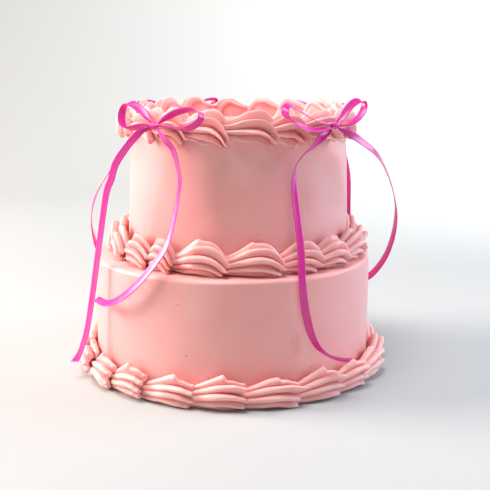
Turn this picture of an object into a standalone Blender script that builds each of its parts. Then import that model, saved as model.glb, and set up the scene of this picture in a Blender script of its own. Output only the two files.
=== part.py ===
"""Two-tier buttercream cake with piped shell borders and satin ribbon bows.

Metres, +Z up. The origin is the centre of the bottom tier's flat base, and the front faces -Y.
Azimuths are in degrees, from the front towards +X.
"""
import math
import random
from dataclasses import dataclass

import bmesh
import bpy
import numpy as np
from mathutils import Matrix

MM = 0.001
CLEARANCE = 0.3 * MM
SHARP_ANGLE = 50.0

# Tiers: the upper one stands a little to the right and narrows upwards
BOTTOM_RADIUS = 113.4 * MM
BOTTOM_HEIGHT = 95.5 * MM
TOP_SHIFT = 4.8 * MM
TOP_FOOT_RADIUS = 90.4 * MM
TOP_RIM_RADIUS = 87.8 * MM
TOP_HEIGHT = 104.5 * MM
CAKE_TOP = BOTTOM_HEIGHT + TOP_HEIGHT
TIER_SIDES = 40
EDGE_ROUNDING = 3.0 * MM
EDGE_SEGMENTS = 2

# Piped shells: a star section that grows from its tail, then turns down at its end
CREST_SPACING = 36.0
FIRST_CREST = -90.0
GROOVE_DEPTH = 0.27
BURIED_ANGLE = 225.0
BURIED_REACH = 1.35
TAIL_OVERLAP = 11.0 * MM
GROWTH_END = 0.72
FALL_POWER = 1.5
FALL_SQUASH = 0.42
PIVOT_DROP = 1.0 * MM
SHOULDER_MIDDLE = 10.0
SHOULDER_START = 3.0
SHOULDER_POWER = 1.5
END_DIMPLE = 1.5 * MM

# How far one shell differs from the next
CREST_SPREAD = (0.93, 1.07)
SIZE_SPREAD = (0.95, 1.05)
PHASE_SPREAD = (12.0, 30.0)
TWIST_SPREAD = (-14.0, 4.0)
FALL_SPREAD = (0.85, 1.10)

# Ribbon: its section, the knots' place and half sizes (along, out, up), and how much of their
# height the loops of a low bow keep
RIBBON_WIDTH = 6.0 * MM
RIBBON_THICKNESS = 0.5 * MM
KNOT_RADIUS = 100.5 * MM
KNOT_HEIGHT = 205.0 * MM
KNOT_SIZE = (3.0 * MM, 2.5 * MM, 2.8 * MM)
KNOT_SIDES = 8
LOW_LIFT = 0.5
LOOP_STATIONS = 17
TAIL_STATIONS = 15
SPLINE_STEPS = 16
OUTWARDS = (0.0, 0.0, 1.0)

# Slivers that a cut leaves
MERGE_DISTANCE = 0.02 * MM
SLIVER_DISTANCE = 0.01 * MM

# Finishes: linear colour and roughness
ICING = ((0.86, 0.47, 0.44, 1.0), 0.55)
RIBBON = ((0.80, 0.10, 0.42, 1.0), 0.32)


@dataclass(frozen=True)
class Border:
    """A ring of piped shells in the corner between a wall and the surface under it.

    The star's middle and reach are measured from that corner, outwards and up.
    """
    name: str
    axis_x: float
    wall_radius: float
    floor: float
    star_out: float
    star_up: float
    reach: float
    tail_scale: float
    shoulder: float
    fall: float
    fall_start: float
    crests: int
    stations: tuple
    front_ends: tuple
    shells: int
    seed: int


@dataclass(frozen=True)
class Shell:
    """One piped shell: where it ends, how long it is and how it differs from its neighbours."""
    crest_scales: tuple
    end_azimuth: float
    length: float
    scale: float
    phase: float
    twist: float
    fall: float


BORDERS = (
    Border(
        name="bottom_border", axis_x=0.0, wall_radius=BOTTOM_RADIUS, floor=0.0,
        star_out=3.0 * MM, star_up=11.5 * MM, reach=12.6 * MM, tail_scale=0.60,
        shoulder=9.0 * MM, fall=18.0, fall_start=0.55, crests=5,
        stations=(0.0, 0.44, 0.78, 1.0),
        front_ends=(-47.8, -31.6, -12.6, 5.2, 25.0, 43.3, 58.8), shells=20, seed=11),
    Border(
        name="middle_border", axis_x=TOP_SHIFT, wall_radius=TOP_FOOT_RADIUS, floor=BOTTOM_HEIGHT,
        star_out=4.0 * MM, star_up=12.5 * MM, reach=13.2 * MM, tail_scale=0.52,
        shoulder=8.0 * MM, fall=58.0, fall_start=0.65, crests=5,
        stations=(0.0, 0.42, 0.78, 1.0),
        front_ends=(-40.6, -26.9, -2.8, 20.9, 39.1, 58.1), shells=18, seed=23),
    Border(
        name="top_border", axis_x=TOP_SHIFT, wall_radius=TOP_RIM_RADIUS, floor=CAKE_TOP,
        star_out=-4.0 * MM, star_up=3.6 * MM, reach=13.6 * MM, tail_scale=0.55,
        shoulder=7.0 * MM, fall=74.0, fall_start=0.65, crests=6,
        stations=(0.0, 0.38, 0.70, 0.87, 1.0),
        front_ends=(-40.0, -22.2, -2.1, 20.1, 35.6, 58.4), shells=18, seed=37),
)

# Bow loops: along the bow, up, outwards (mm), and how far the ribbon's width tips outwards (degrees)
LOOP_LEFT_ROUND = (
    (-1.0, 1.2, -0.8, 60), (-10.0, 9.0, -1.2, 45), (-17.0, 13.0, -1.8, 40), (-22.5, 15.5, -2.2, 52),
    (-26.5, 15.2, -1.8, 80), (-28.5, 12.0, 0.2, 110), (-29.0, 7.5, 2.0, 123), (-27.8, 2.5, 3.6, 114),
    (-25.0, -1.5, 4.2, 92), (-20.5, -2.8, 4.0, 60), (-14.0, -1.2, 3.2, 48), (-7.5, 0.4, 2.2, 55),
    (-1.0, 0.2, 0.8, 65))
LOOP_RIGHT_LONG = (
    (1.0, 1.2, -0.8, 60), (11.0, 6.5, -1.0, 50), (19.0, 10.5, -1.6, 45), (28.0, 13.0, -2.0, 46),
    (36.5, 13.5, -1.6, 56), (42.0, 12.0, -0.2, 80), (43.8, 8.0, 1.4, 104), (41.0, 4.0, 2.8, 125),
    (36.0, 1.0, 3.4, 130), (28.5, -0.5, 3.2, 122), (18.5, 0.0, 2.3, 118), (8.5, 0.6, 1.4, 115),
    (1.0, 0.2, 0.8, 115))
LOOP_LEFT_LONG = (
    (-1.0, 0.6, -0.8, 75), (-14.5, 3.0, -1.4, 74), (-24.0, 7.0, -2.2, 70), (-33.0, 12.0, -3.0, 60),
    (-39.0, 15.5, -3.2, 58), (-46.0, 16.5, -2.0, 62), (-51.3, 13.5, 0.5, 66), (-51.0, 9.5, 2.0, 84),
    (-46.5, 6.0, 3.2, 112), (-40.0, 3.0, 3.6, 138), (-32.0, 0.0, 3.4, 135), (-24.0, -1.8, 2.8, 122),
    (-14.5, -1.8, 1.8, 113), (-1.0, -0.6, 0.8, 110))
LOOP_RIGHT_HIGH = (
    (1.0, 0.6, -0.8, 118), (8.5, 5.5, -1.2, 130), (14.5, 11.0, -1.8, 136), (21.5, 15.5, -2.2, 136),
    (27.5, 17.3, -1.6, 118), (30.5, 15.8, 0.0, 96), (29.5, 12.0, 1.4, 84), (26.0, 8.0, 2.6, 78),
    (20.5, 4.0, 3.2, 76), (14.0, 1.0, 2.8, 78), (7.0, -0.6, 1.8, 86), (1.0, -0.6, 0.8, 92))

# Bows: name, knot azimuth, the way that the bow faces, how high its loops stand, and the two loops
BOWS = (
    ("bow_front_left", -38.0, -34.0, 1.0, LOOP_LEFT_ROUND, LOOP_RIGHT_LONG),
    ("bow_front_right", 46.0, 40.0, 1.0, LOOP_LEFT_LONG, LOOP_RIGHT_HIGH),
    ("bow_back_right", 135.0, 135.0, LOW_LIFT, LOOP_LEFT_ROUND, LOOP_RIGHT_LONG),
    ("bow_back_left", -142.0, -142.0, LOW_LIFT, LOOP_LEFT_LONG, LOOP_RIGHT_HIGH),
)

# Ribbon tails: x, y, z (mm) from the knot down, and how far the face turns from outwards (degrees)
TAILS = {
    "tail_front_left_outer": (
        (-60.6, -79.9, 203.2, 30), (-67, -78, 201, 22), (-75, -76, 193, 20), (-82, -73, 184, 25),
        (-87.5, -70, 175, 25), (-91, -68, 164, 22), (-95.5, -66, 152, 20), (-100.5, -64, 123, 20),
        (-105, -62, 96, 22), (-109.5, -60, 69, 22), (-114.5, -58, 43, 20), (-121, -55, 23, 15),
        (-126.5, -53, 14, 15)),
    "tail_front_left_inner": (
        (-55.3, -83.2, 203.9, -30), (-48, -89.4, 195.5, -17), (-43, -89, 189, -20), (-40, -89, 179, -32),
        (-38, -89, 167, -38), (-39, -91, 155, -38), (-42, -95, 139, -34), (-47, -99, 121, -28),
        (-56, -102, 107, -22), (-68, -99, 92, -20), (-82, -91, 78, -25), (-95, -79, 70, -45),
        (-106, -62, 69, -65)),
    "tail_front_right_inner": (
        (74.4, -74.5, 202.4, -60), (66.5, -81, 197, -9), (59, -85, 190, 40), (52, -88, 184, 65),
        (47, -89, 176, 55), (46, -90, 166, 25), (47, -92, 152, 5), (49, -98, 135, 0),
        (51, -103, 116, 0), (52, -107, 93, 0), (55, -105.5, 70, -20), (61, -102, 49, -60),
        (69, -106, 39.5, -76), (80.5, -101.5, 33, -58), (90, -97.3, 30.5, -45)),
    "tail_front_right_outer": (
        (80.3, -71.6, 202.4, -45), (90, -66, 198, -13), (100, -58, 191, 10), (110, -49, 183, 15),
        (118, -38, 173, 15), (126, -26, 158, 10), (132, -13, 143, 8), (136, 0, 125, 15),
        (136.5, 16, 103, 18), (133, 34, 81, 12), (125, 52, 62, 5), (116, 63, 53, 0)),
    "tail_back_left_outer": (
        (-61.7, 81.9, 203.9, 0), (-76, 78, 192, 0), (-94, 71, 172, 15), (-110, 64, 151, 35),
        (-121, 56, 132, 45), (-125, 51, 113, 30), (-123, 50, 95, 10), (-119, 54, 80, 0),
        (-113, 63, 64, 0), (-104, 76, 50, 0)),
    "tail_back_left_inner": (
        (-55.5, 82, 201, 0), (-46, 91, 194, 0), (-40, 95, 178, -10), (-38, 98, 158, -20),
        (-40, 102, 136, -10), (-44, 107, 115, 0), (-46, 112, 92, 10), (-42, 116, 70, 20),
        (-33, 120, 50, 20), (-22, 124, 36, 10)),
    "tail_back_right_outer": (
        (77.6, 73.5, 204.6, 30), (88, 72, 190.5, 12), (96, 65, 174, 10), (101, 58, 151, 20),
        (102, 56, 128, 10), (103, 60, 106, 0), (104, 66, 84, 0), (101, 76, 62, 10),
        (93, 88, 44, 20)),
    "tail_back_right_inner": (
        (74.4, 75.3, 204.6, -60), (64, 88.3, 193.5, -24), (56, 93, 180, 15), (52, 96, 160, 30),
        (52, 100, 138, 20), (54, 105, 116, 0), (54, 109, 92, -10), (49, 113, 68, -20),
        (39, 117, 48, -20), (27, 121, 34, -10)),
}


def clear_scene():
    """Remove every object that the scene holds."""
    for obj in list(bpy.data.objects):
        bpy.data.objects.remove(obj, do_unlink=True)


def make_material(name, finish):
    """Return a Principled material from a colour and a roughness."""
    colour, roughness = finish
    material = bpy.data.materials.new(name)
    material.use_nodes = True
    shader = material.node_tree.nodes["Principled BSDF"]
    shader.inputs["Base Color"].default_value = colour
    shader.inputs["Roughness"].default_value = roughness
    shader.inputs["Metallic"].default_value = 0.0
    return material


def dress(obj, finish):
    """Give an object its own material and smooth shading with sharp creases."""
    obj.data.materials.clear()
    obj.data.materials.append(make_material(obj.name, finish))
    obj.data.shade_smooth()
    obj.data.set_sharp_from_angle(angle=math.radians(SHARP_ANGLE))


def add_object(name, bm):
    """Turn a bmesh into a named object."""
    mesh = bpy.data.meshes.new(name)
    bm.to_mesh(mesh)
    bm.free()
    obj = bpy.data.objects.new(name, mesh)
    bpy.context.scene.collection.objects.link(obj)
    return obj


def unit(vectors):
    """Scale vectors to length one."""
    return vectors / np.linalg.norm(vectors, axis=1, keepdims=True)


def tube_bmesh(rings, start=None, end=None):
    """Join closed rings of points into a tube, its ends flat or fanned to a middle point."""
    bm = bmesh.new()
    verts = [[bm.verts.new(point) for point in ring] for ring in rings]
    for one, two in zip(verts, verts[1:]):
        for i, vert in enumerate(one):
            j = (i + 1) % len(one)
            bm.faces.new((vert, one[j], two[j], two[i]))
    for ring, middle in ((verts[0], start), (verts[-1], end)):
        if middle is None:
            bm.faces.new(ring)
            continue
        centre = bm.verts.new(middle)
        for i, vert in enumerate(ring):
            bm.faces.new((vert, ring[(i + 1) % len(ring)], centre))
    bmesh.ops.triangulate(bm, faces=bm.faces)
    bmesh.ops.recalc_face_normals(bm, faces=bm.faces)
    return bm


def make_tier(name, axis_x, base, height, foot_radius, rim_radius, grow):
    """Build a round tier with a softened top edge or, grown, the shape that clears it."""
    bm = bmesh.new()
    middle = base + height / 2.0
    bmesh.ops.create_cone(bm, cap_ends=True, segments=TIER_SIDES, radius1=foot_radius + grow,
                          radius2=rim_radius + grow, depth=height + 2.0 * grow)
    bmesh.ops.translate(bm, verts=bm.verts, vec=(axis_x, 0.0, middle))
    rim = [edge for edge in bm.edges if all(vert.co.z > middle for vert in edge.verts)]
    bmesh.ops.bevel(bm, geom=rim, offset=EDGE_ROUNDING, segments=EDGE_SEGMENTS, profile=0.5,
                    affect="EDGES", clamp_overlap=True)
    return add_object(name, bm)


def bottom_tier(name, grow=0.0):
    """Build the lower tier or, grown, the shape that clears it."""
    return make_tier(name, 0.0, 0.0, BOTTOM_HEIGHT, BOTTOM_RADIUS, BOTTOM_RADIUS, grow)


def top_tier(name, grow=0.0):
    """Build the upper tier just clear of the lower one or, grown, the shape that clears it."""
    base = BOTTOM_HEIGHT + CLEARANCE
    return make_tier(name, TOP_SHIFT, base, CAKE_TOP - base, TOP_FOOT_RADIUS, TOP_RIM_RADIUS, grow)


def floor_slab(name, grow=0.0):
    """Build the slab under the base, against which the bottom border is cut flat."""
    size = 4.0 * BOTTOM_RADIUS
    bm = bmesh.new()
    bmesh.ops.create_cube(bm, size=size + 2.0 * grow)
    bmesh.ops.translate(bm, verts=bm.verts, vec=(0.0, 0.0, -size / 2.0 - grow))
    return add_object(name, bm)


def star_section(phase, crest_scales):
    """Return the angles and relative radii of a star, a groove between each two crests.

    The section closes behind, where one buried point takes the place of the other crests.
    """
    crests = FIRST_CREST + CREST_SPACING * np.arange(len(crest_scales))
    grooves = FIRST_CREST + CREST_SPACING * (np.arange(len(crest_scales) + 1) - 0.5)
    groove_radii = np.full(len(grooves), 1.0 - GROOVE_DEPTH)
    groove_radii[[0, -1]] = 1.0
    angle = np.empty(2 * len(crests) + 2)
    radius = np.empty(2 * len(crests) + 2)
    angle[0:-1:2], angle[1:-1:2], angle[-1] = grooves + phase, crests + phase, BURIED_ANGLE
    radius[0:-1:2], radius[1:-1:2], radius[-1] = groove_radii, crest_scales, BURIED_REACH
    return np.radians(angle), radius


def fall_lead(border, fall):
    """Return how far a shell's end runs on round the ring as it turns down by an angle."""
    return FALL_SQUASH * 2.0 * border.reach * math.sin(math.radians(fall))


def shell_ring(border, shell, u):
    """Return one closed star ring of a shell, u running from its tail to its end."""
    angle, radius = star_section(shell.phase + shell.twist * u, shell.crest_scales)
    grown = min(u / GROWTH_END, 1.0)
    rise = grown * grown * (3.0 - 2.0 * grown)
    scale = shell.scale * (border.tail_scale + (1.0 - border.tail_scale) * rise)
    out = scale * (border.star_out + border.reach * radius * np.cos(angle))
    up = scale * (border.star_up + border.reach * radius * np.sin(angle))
    back = 1.0 - np.cos(angle - math.radians(SHOULDER_MIDDLE))
    along = shell.length * u - border.shoulder * u ** SHOULDER_START * back ** SHOULDER_POWER / 2.0
    past = max(0.0, (u - border.fall_start) / (1.0 - border.fall_start))
    fall = math.radians(shell.fall) * past ** FALL_POWER
    pivot = border.star_up - border.reach - PIVOT_DROP
    arm = up - pivot
    along = along + FALL_SQUASH * arm * math.sin(fall)
    return bend_round(border, shell, along, out, pivot + arm * math.cos(fall))


def bend_round(border, shell, along, out, up):
    """Lay points, given along, out from and up the border's corner, round its axis."""
    past_end = along - shell.length - fall_lead(border, shell.fall)
    turn = math.radians(shell.end_azimuth) + past_end / (border.wall_radius + border.reach)
    radius = border.wall_radius + out
    x = border.axis_x + radius * np.sin(turn)
    return np.stack([x, -radius * np.cos(turn), border.floor + up], axis=1)


def shell_ends(border):
    """Return where every shell ends: the front ones as piped, the rest evenly round the back."""
    front = list(border.front_ends)
    rest = border.shells - len(front)
    step = (front[0] + 360.0 - front[-1]) / (rest + 1)
    return front + [front[-1] + step * (i + 1) for i in range(rest)]


def border_shells(border):
    """Draw the shells of a border, each a little different."""
    draw = random.Random(border.seed)
    ends = shell_ends(border)
    starts = [ends[-1] - 360.0] + ends[:-1]
    shells = []
    for start, end in zip(starts, ends):
        pitch = math.radians(end - start) * (border.wall_radius + border.reach)
        shells.append(Shell(
            crest_scales=tuple(draw.uniform(*CREST_SPREAD) for _ in range(border.crests)),
            end_azimuth=end, length=pitch + TAIL_OVERLAP - fall_lead(border, border.fall),
            scale=draw.uniform(*SIZE_SPREAD), phase=draw.uniform(*PHASE_SPREAD),
            twist=draw.uniform(*TWIST_SPREAD), fall=border.fall * draw.uniform(*FALL_SPREAD)))
    return shells


def make_shell(border, shell, number):
    """Build one shell as a closed solid with a dimpled end."""
    rings = [shell_ring(border, shell, u) for u in border.stations]
    turn = math.radians(shell.end_azimuth)
    dimple = END_DIMPLE * np.array([math.cos(turn), math.sin(turn), 0.0])
    bm = tube_bmesh(rings, rings[0].mean(axis=0), rings[-1].mean(axis=0) - dimple)
    return add_object(f"{border.name}_shell_{number}", bm)


def boolean(obj, operation, operand=None, collection=None):
    """Apply a Boolean to an object. The manifold solver keeps these many-sided shells closed."""
    modifier = obj.modifiers.new(operation.title(), "BOOLEAN")
    modifier.operation = operation
    modifier.solver = "MANIFOLD"
    if collection:
        modifier.operand_type = "COLLECTION"
        modifier.collection = collection
    else:
        modifier.object = operand
    bpy.context.view_layer.update()
    evaluated = obj.evaluated_get(bpy.context.evaluated_depsgraph_get())
    mesh = bpy.data.meshes.new_from_object(evaluated)
    obj.modifiers.clear()
    obj.data = mesh


def fuse(name, pieces):
    """Fuse overlapping pieces into one named solid by a Boolean union on a collection."""
    whole, rest = pieces[0], pieces[1:]
    group = bpy.data.collections.new(name + "_pieces")
    bpy.context.scene.collection.children.link(group)
    for piece in rest:
        bpy.context.scene.collection.objects.unlink(piece)
        group.objects.link(piece)
    boolean(whole, "UNION", collection=group)
    for piece in rest:
        bpy.data.objects.remove(piece, do_unlink=True)
    bpy.data.collections.remove(group)
    whole.name = name
    return whole


def trim(obj, maker):
    """Cut an object back by the clearance from what stands behind it."""
    cutter = maker(obj.name + "_cutter", CLEARANCE)
    cutter.hide_render = True
    cutter.display_type = "WIRE"
    boolean(obj, "DIFFERENCE", operand=cutter)
    bpy.data.objects.remove(cutter, do_unlink=True)


def connected_bodies(bm):
    """Return the separate bodies of a bmesh as lists of faces, the largest first."""
    left = set(bm.faces)
    bodies = []
    while left:
        body = [left.pop()]
        for face in body:
            touching = {other for edge in face.edges for other in edge.link_faces} & left
            left -= touching
            body.extend(touching)
        bodies.append(body)
    return sorted(bodies, key=len, reverse=True)


def drop_scraps(obj):
    """Keep an object's largest body, without the loose scraps and slivers that a cut leaves."""
    bm = bmesh.new()
    bm.from_mesh(obj.data)
    bmesh.ops.remove_doubles(bm, verts=bm.verts, dist=MERGE_DISTANCE)
    bmesh.ops.dissolve_degenerate(bm, edges=bm.edges, dist=SLIVER_DISTANCE)
    bmesh.ops.triangulate(bm, faces=bm.faces)
    scraps = [face for body in connected_bodies(bm)[1:] for face in body]
    bmesh.ops.delete(bm, geom=scraps, context="FACES")
    bmesh.ops.recalc_face_normals(bm, faces=bm.faces)
    bm.to_mesh(obj.data)
    bm.free()


def make_borders():
    """Pipe the three borders and trim each where it meets the cake."""
    behind = ((bottom_tier, floor_slab), (bottom_tier, top_tier), (top_tier,))
    for border, makers in zip(BORDERS, behind):
        shells = [make_shell(border, shell, i) for i, shell in enumerate(border_shells(border))]
        ring = fuse(border.name, shells)
        for maker in makers:
            trim(ring, maker)
        drop_scraps(ring)
        dress(ring, ICING)


def smooth_path(points, stations):
    """Read evenly spaced stations off a Catmull-Rom curve through the points, in all their columns.

    The first three columns are the place. Three more are added at the end, the path's direction.
    """
    points = np.array(points, dtype=float)
    padded = np.vstack([2 * points[0] - points[1], points, 2 * points[-1] - points[-2]])
    fine = []
    for before, one, two, after in zip(padded, padded[1:], padded[2:], padded[3:]):
        square = 2 * before - 5 * one + 4 * two - after
        cube = 3 * one - before - 3 * two + after
        for t in np.arange(SPLINE_STEPS) / SPLINE_STEPS:
            fine.append((2 * one + (two - before) * t + square * t ** 2 + cube * t ** 3) / 2.0)
    fine = np.array(fine + [points[-1]])
    fine = np.hstack([fine, unit(np.gradient(fine[:, :3], axis=0))])
    steps = np.linalg.norm(np.diff(fine[:, :3], axis=0), axis=1)
    lengths = np.concatenate([[0.0], np.cumsum(steps)])
    wanted = np.linspace(0.0, lengths[-1], stations)
    return np.stack([np.interp(wanted, lengths, column) for column in fine.T], axis=1)


def ribbon_bmesh(centres, tangents, widths):
    """Sweep the ribbon's flat section along its centres, its width lying along the given vectors."""
    tangents = unit(tangents)
    widths = unit(widths - tangents * np.sum(widths * tangents, axis=1, keepdims=True))
    across = widths * RIBBON_WIDTH / 2.0
    thick = np.cross(tangents, widths) * RIBBON_THICKNESS / 2.0
    corners = (across + thick, thick - across, -across - thick, across - thick)
    return tube_bmesh(np.stack([centres + corner for corner in corners], axis=1))


def make_knot(name, place, facing):
    """Build a bow's knot, a small flattened ball."""
    bm = bmesh.new()
    bmesh.ops.create_uvsphere(bm, u_segments=KNOT_SIDES, v_segments=KNOT_SIDES // 2, radius=1.0)
    bmesh.ops.scale(bm, verts=bm.verts, vec=KNOT_SIZE)
    bmesh.ops.rotate(bm, verts=bm.verts, cent=(0.0, 0.0, 0.0), matrix=Matrix.Rotation(facing, 3, "Z"))
    bmesh.ops.translate(bm, verts=bm.verts, vec=place)
    return add_object(name, bm)


def make_bow(name, knot_azimuth, facing, lift, *loops):
    """Tie one bow: a knot with two ribbon loops fused to it.

    The ribbon's width lies across the loop in the bow's own plane, then tips outwards.
    """
    turn = math.radians(knot_azimuth)
    facing = math.radians(facing)
    knot_x = TOP_SHIFT + KNOT_RADIUS * math.sin(turn)
    knot = np.array([knot_x, -KNOT_RADIUS * math.cos(turn), KNOT_HEIGHT])
    along = np.array([math.cos(facing), math.sin(facing), 0.0])
    up = np.array([0.0, 0.0, 1.0])
    axes = np.stack([along, up, np.cross(along, up)])
    pieces = [make_knot(name + "_knot", knot, facing)]
    for number, loop in enumerate(loops):
        path = smooth_path(np.array(loop) * (1.0, lift, 1.0, 1.0), LOOP_STATIONS)
        tip = np.radians(path[:, 3])[:, None]
        across = unit(np.stack([-path[:, 5], path[:, 4], np.zeros(len(path))], axis=1))
        widths = (np.cos(tip) * across + np.sin(tip) * OUTWARDS) @ axes
        band = ribbon_bmesh(knot + path[:, :3] @ axes * MM, path[:, 4:] @ axes, widths)
        pieces.append(add_object(f"{name}_loop_{number}", band))
    bow = fuse(name, pieces)
    drop_scraps(bow)
    dress(bow, RIBBON)


def make_tail(name, route):
    """Hang one ribbon tail along its route."""
    path = smooth_path(route, TAIL_STATIONS)
    centres = path[:, :3] * MM
    tangents = unit(path[:, 4:])
    outward = unit((centres - np.array([TOP_SHIFT, 0.0, 0.0])) * np.array([1.0, 1.0, 0.0]))
    flat = unit(np.cross(tangents, outward))
    face = np.cross(flat, tangents)
    turn = np.radians(path[:, 3])[:, None]
    tail = add_object(name, ribbon_bmesh(centres, tangents, flat * np.cos(turn) + face * np.sin(turn)))
    dress(tail, RIBBON)


def main():
    """Build the whole cake."""
    clear_scene()
    dress(bottom_tier("bottom_tier"), ICING)
    dress(top_tier("top_tier"), ICING)
    make_borders()
    for bow in BOWS:
        make_bow(*bow)
    for name, route in TAILS.items():
        make_tail(name, route)


main()
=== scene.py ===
import logging
import math
import random
from dataclasses import dataclass
from enum import Enum

import bpy
import numpy as np
from mathutils import Matrix


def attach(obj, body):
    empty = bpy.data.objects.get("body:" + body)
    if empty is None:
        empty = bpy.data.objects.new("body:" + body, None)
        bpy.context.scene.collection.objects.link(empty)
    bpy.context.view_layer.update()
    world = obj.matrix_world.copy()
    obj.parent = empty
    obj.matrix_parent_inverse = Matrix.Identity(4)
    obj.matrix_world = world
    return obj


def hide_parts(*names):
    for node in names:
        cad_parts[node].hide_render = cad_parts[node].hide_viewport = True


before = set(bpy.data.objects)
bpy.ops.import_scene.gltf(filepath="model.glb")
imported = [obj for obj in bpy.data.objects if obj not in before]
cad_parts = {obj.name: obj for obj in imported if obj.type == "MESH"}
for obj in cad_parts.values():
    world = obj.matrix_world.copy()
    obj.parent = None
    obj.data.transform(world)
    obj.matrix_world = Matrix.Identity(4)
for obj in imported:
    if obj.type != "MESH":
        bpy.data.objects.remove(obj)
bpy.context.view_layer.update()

Tree, Socket, Material, Object = (
    bpy.types.NodeTree, bpy.types.NodeSocket, bpy.types.Material, bpy.types.Object)

LOG = logging.getLogger("cake")
MM = 0.001
CLEARANCE = 0.3 * MM

# Sizes of the tiers
BOTTOM_RADIUS = 113.4 * MM
BOTTOM_HEIGHT = 95.5 * MM
TOP_SHIFT = 4.8 * MM
TOP_FOOT_RADIUS = 90.4 * MM
TOP_RIM_RADIUS = 87.8 * MM
CAKE_TOP = 200.0 * MM

# Piped shells: a star section that grows from its tail, then turns down at its end
CREST_SPACING = 36.0
FIRST_CREST = -90.0
BURIED_ANGLE = 225.0
BURIED_REACH = 1.35
TAIL_OVERLAP = 11.0 * MM
GROWTH_END = 0.72
FALL_POWER = 1.5
FALL_SQUASH = 0.42
PIVOT_DROP = 1.0 * MM
SHOULDER_MIDDLE = 10.0
SHOULDER_START = 3.0
SHOULDER_POWER = 1.5

# How far one shell differs from the next
CREST_SPREAD = (0.93, 1.07)
SIZE_SPREAD = (0.95, 1.05)
PHASE_SPREAD = (12.0, 30.0)
TWIST_SPREAD = (-14.0, 4.0)
FALL_SPREAD = (0.85, 1.10)

# How finely a shell is drawn
LOBE_POINTS = 14
BURIED_POINTS = 4
SHELL_ROWS = 44
CAP_STEPS = (0.985, 0.95, 0.90, 0.83, 0.74, 0.60, 0.42, 0.22)

# Where along a shell, from nought to one, its parts begin and how long they run
NOSE_START = 0.60
HUMP_PLACE = 0.68
HUMP_RISE = 0.18
HUMP_DROP = 0.08
CORNER_START = 0.55
TAPER_START = 0.84
# painted shade: how far from its tail a shell stays painted deep red, where it tucks under the shell before
TUCKED_TAIL_SHADE = 0.22
STAR_CHANGE = (0.30, 0.95)

# Sizes of the ribbon and its knots
RIBBON_WIDTH = 6.0 * MM
RIBBON_THICKNESS = 0.4 * MM
KNOT_RADIUS = 100.5 * MM
KNOT_HEIGHT = 205.0 * MM
KNOT_SIZE = (3.0 * MM, 2.5 * MM, 2.8 * MM)
LOW_LIFT = 0.5
OUTWARDS = (0.0, 0.0, 1.0)
LOOP_ROWS = 120
TAIL_ROWS = 160
SPLINE_STEPS = 16


# Helpers


def srgb(code: str) -> tuple:
    """Turn an sRGB hex colour into linear RGBA.

    Args:
        code: the colour as "#RRGGBB".

    Returns:
        Its linear red, green and blue, and an alpha of one.
    """
    parts = np.array([int(code[i:i + 2], 16) / 255.0 for i in (1, 3, 5)])
    linear = np.where(parts <= 0.04045, parts / 12.92, ((parts + 0.055) / 1.055) ** 2.4)
    return (*linear.tolist(), 1.0)


def add_node(tree: Tree, kind: str, settings: dict | None = None,
             links: dict | None = None) -> bpy.types.Node:
    """Add a shader node with its settings and links.

    Args:
        tree: the node tree.
        kind: the node's Blender type, without the ShaderNode that each starts with.
        settings: values by property name, or by input name or number.
        links: output sockets by the name or number of the input that each feeds.

    Returns:
        The new node.
    """
    node = tree.nodes.new("ShaderNode" + kind)
    for key, value in (settings or {}).items():
        if isinstance(key, str) and hasattr(node, key):
            setattr(node, key, value)
        else:
            node.inputs[key].default_value = value
    for key, socket in (links or {}).items():
        tree.links.new(socket, node.inputs[key])
    return node


def new_material(name: str) -> tuple:
    """Start a material with nothing but its output.

    Args:
        name: the material's name.

    Returns:
        The material, its node tree and its output node.
    """
    material = bpy.data.materials.new(name)
    material.use_nodes = True
    tree = material.node_tree
    tree.nodes.clear()
    return material, tree, add_node(tree, "OutputMaterial")


def add_mesh(name: str, points: np.ndarray, faces: list, material: Material,
             attributes: dict | None = None) -> Object:
    """Make a smooth-shaded object at the origin from points and faces.

    Args:
        name: the object's name.
        points: its vertices, (n, 3).
        faces: tuples of vertex numbers.
        material: its material.
        attributes: one number a vertex, by attribute name; an (n, 2) array becomes a UV map.

    Returns:
        The new object.
    """
    mesh = bpy.data.meshes.new(name)
    mesh.from_pydata(points.tolist(), [], faces)
    for key, values in (attributes or {}).items():
        if values.ndim == 2:
            corners = np.empty(len(mesh.loops), dtype=int)
            mesh.loops.foreach_get("vertex_index", corners)
            mesh.uv_layers.new(name=key).data.foreach_set("uv", values[corners].ravel())
        else:
            mesh.attributes.new(key, "FLOAT", "POINT").data.foreach_set("value", values)
    mesh.materials.append(material)
    mesh.shade_smooth()
    mesh.validate()
    mesh.update()
    obj = bpy.data.objects.new(name, mesh)
    bpy.context.scene.collection.objects.link(obj)
    return obj


def tube_faces(rows: int, columns: int, first: int) -> list:
    """List the faces of a tube closed by a pole at each end.

    The vertices are one pole, then the rings in order, then the other pole. Each ring's point i
    joins point i + 1, and the next ring's points i + 1 and i.

    Args:
        rows: the number of rings.
        columns: the points of a ring.
        first: the number of the first pole.

    Returns:
        The faces, outward where a ring runs clockwise as seen from the second pole.
    """
    ring = first + 1 + np.arange(rows * columns).reshape(rows, columns)
    following = np.roll(ring, -1, axis=1)
    sides = np.stack([ring[:-1], ring[1:], following[1:], following[:-1]], axis=-1).reshape(-1, 4)
    start = np.stack([np.full(columns, first), ring[0], following[0]], axis=-1)
    last = first + 1 + rows * columns
    end = np.stack([np.full(columns, last), following[-1], ring[-1]], axis=-1)
    return [tuple(face) for part in (start, sides, end) for face in part.tolist()]


def place_piece(obj: Object, node: str) -> Object:
    """Let a piece ride on the body and stand for its node.

    Args:
        obj: the piece.
        node: the solid that it stands for.

    Returns:
        The same piece.
    """
    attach(obj, "root")
    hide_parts(node)
    return obj


def unit(vectors: np.ndarray) -> np.ndarray:
    """Scale vectors, along the last axis, to length one."""
    return vectors / np.linalg.norm(vectors, axis=-1, keepdims=True)


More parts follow.
